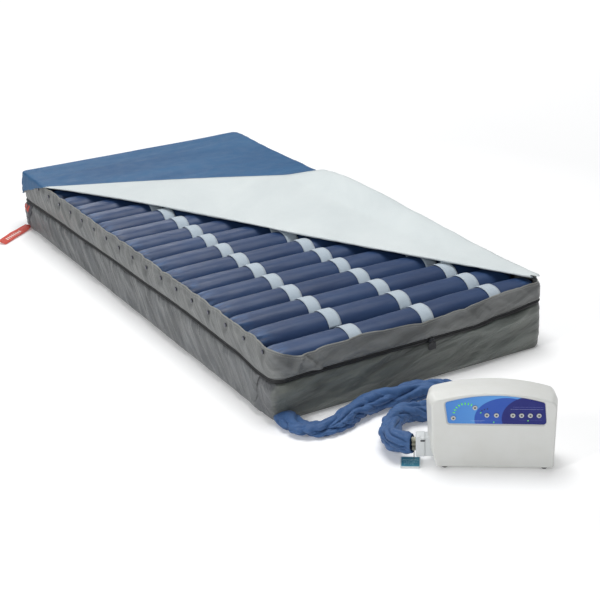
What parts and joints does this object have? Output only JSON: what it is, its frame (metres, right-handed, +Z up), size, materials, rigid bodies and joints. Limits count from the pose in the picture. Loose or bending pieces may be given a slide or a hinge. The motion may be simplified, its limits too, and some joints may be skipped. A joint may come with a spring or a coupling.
{
  "type": "pressure relief mattress",
  "caption": "Air cell pressure relief mattress with its zipped cover folded back diagonally, fabric-sleeved air hose and a control pump with an arched button panel.",
  "frame": {"origin": "middle of the mattress's underside, on the ground", "axes": "+Z up, +Y towards the head end, -X the side whose press studs show"},
  "size_m": [1.0673, 2.5493, 0.243],
  "materials": {
    "cover_grey": "matte",
    "cover_blue": "satin",
    "cell_nylon": "satin",
    "band_weave": "matte",
    "base_film": "satin",
    "stud_navy": "gloss",
    "zip_black": "matte",
    "tube_clear": "satin",
    "fitting_white": "satin",
    "strap_red": "satin",
    "sleeve_blue": "satin",
    "latch_dark": "matte",
    "card_teal": "satin",
    "case_white": "satin",
    "panel_film": "satin",
    "button_white": "satin",
    "board_green": "satin",
    "steel": "satin",
    "foot_rubber": "matte",
    "motor_grey": "matte"
  },
  "bodies": {
    "mattress_and_pump": {"base_cover": "cover_grey", "cell_surround": "cover_grey", "top_cover": "cover_blue", "air_cell_01": "cell_nylon", "air_cell_02": "cell_nylon", "air_cell_03": "cell_nylon", "air_cell_04": "cell_nylon", "air_cell_05": "cell_nylon", "air_cell_06": "cell_nylon", "air_cell_07": "cell_nylon", "air_cell_08": "cell_nylon", "air_cell_09": "cell_nylon", "air_cell_10": "cell_nylon", "air_cell_11": "cell_nylon", "air_cell_12": "cell_nylon", "air_cell_13": "cell_nylon", "air_cell_14": "cell_nylon", "air_cell_15": "cell_nylon", "air_cell_16": "cell_nylon", "air_cell_17": "cell_nylon", "air_cell_18": "cell_nylon", "cell_bands": "band_weave", "static_base": "base_film", "press_studs": "stud_navy", "zip_chain": "zip_black", "air_manifolds": "tube_clear", "hose_tubes": "tube_clear", "inlet_block": "fitting_white", "cpr_valve": "fitting_white", "connector_body": "fitting_white", "outlet_socket": "fitting_white", "hose_sleeve": "sleeve_blue", "mains_inlet": "latch_dark", "hose_tag": "card_teal", "front_case": "case_white", "rear_case": "case_white", "control_panel": "panel_film", "display_board": "board_green", "hook_pins": "steel", "case_screws": "steel", "pump_feet": "foot_rubber", "compressor": "motor_grey", "air_valve": "motor_grey"},
    "zip_slider_body": {"zip_slider": "zip_black"},
    "zip_pull_tab": {"zip_pull": "zip_black"},
    "cpr_release": {"cpr_plug": "strap_red", "cpr_strap": "strap_red"},
    "latch": {"connector_latch": "latch_dark"},
    "rocker": {"power_switch": "latch_dark"},
    "left_hook": {"hook_left": "steel"},
    "right_hook": {"hook_right": "steel"},
    "button_power_cap": {"button_power": "button_white"},
    "button_level_cap": {"button_level": "button_white"},
    "button_mode_cap": {"button_mode": "button_white"},
    "button_static_cap": {"button_static": "button_white"},
    "button_time_cap": {"button_time": "button_white"},
    "button_firmer_cap": {"button_firmer": "button_white"},
    "button_softer_cap": {"button_softer": "button_white"},
    "button_alarm_cap": {"button_alarm": "button_white"}
  },
  "joints": [
    {"name": "button_power_press", "type": "slide", "parent": "mattress_and_pump", "child": "button_power_cap", "axis": [0.5707, 0.8211, 0], "range_m": [0, 0.0008], "stiffness_N_per_m": 600},
    {"name": "button_level_press", "type": "slide", "parent": "mattress_and_pump", "child": "button_level_cap", "axis": [0.5707, 0.8211, 0], "range_m": [0, 0.0008], "stiffness_N_per_m": 600},
    {"name": "button_mode_press", "type": "slide", "parent": "mattress_and_pump", "child": "button_mode_cap", "axis": [0.5707, 0.8211, 0], "range_m": [0, 0.0008], "stiffness_N_per_m": 600},
    {"name": "button_static_press", "type": "slide", "parent": "mattress_and_pump", "child": "button_static_cap", "axis": [0.5707, 0.8211, 0], "range_m": [0, 0.0008], "stiffness_N_per_m": 600},
    {"name": "button_time_press", "type": "slide", "parent": "mattress_and_pump", "child": "button_time_cap", "axis": [0.5707, 0.8211, 0], "range_m": [0, 0.0008], "stiffness_N_per_m": 600},
    {"name": "button_firmer_press", "type": "slide", "parent": "mattress_and_pump", "child": "button_firmer_cap", "axis": [0.5707, 0.8211, 0], "range_m": [0, 0.0008], "stiffness_N_per_m": 600},
    {"name": "button_softer_press", "type": "slide", "parent": "mattress_and_pump", "child": "button_softer_cap", "axis": [0.5707, 0.8211, 0], "range_m": [0, 0.0008], "stiffness_N_per_m": 600},
    {"name": "button_alarm_press", "type": "slide", "parent": "mattress_and_pump", "child": "button_alarm_cap", "axis": [0.5707, 0.8211, 0], "range_m": [0, 0.0008], "stiffness_N_per_m": 600},
    {"name": "latch_press", "type": "slide", "parent": "mattress_and_pump", "child": "latch", "axis": [0.5707, 0.8211, 0], "range_m": [0, 0.0015], "stiffness_N_per_m": 500},
    {"name": "rocker_tilt", "type": "hinge", "parent": "mattress_and_pump", "child": "rocker", "pos_m": [-0.01145, -1.44399, 0.049], "axis": [0.8211, -0.5707, 0], "range_deg": [0, 16]},
    {"name": "left_hook_swing", "type": "hinge", "parent": "mattress_and_pump", "child": "left_hook", "pos_m": [-0.12231, -1.35293, 0.16], "axis": [0, 0, 1], "range_deg": [0, 90]},
    {"name": "right_hook_swing", "type": "hinge", "parent": "mattress_and_pump", "child": "right_hook", "pos_m": [0.014, -1.44767, 0.16], "axis": [0, 0, -1], "range_deg": [0, 90]},
    {"name": "zip_slide", "type": "slide", "parent": "mattress_and_pump", "child": "zip_slider_body", "axis": [1, 0, 0], "range_m": [-0.36, 0.12]},
    {"name": "zip_pull_swing", "type": "hinge", "parent": "zip_slider_body", "child": "zip_pull_tab", "pos_m": [0.05, -0.9829, 0.121], "axis": [-1, 0, 0], "range_deg": [0, 150]},
    {"name": "cpr_pull", "type": "slide", "parent": "mattress_and_pump", "child": "cpr_release", "axis": [-1, 0, 0], "range_m": [0, 0.04]}
  ]
}
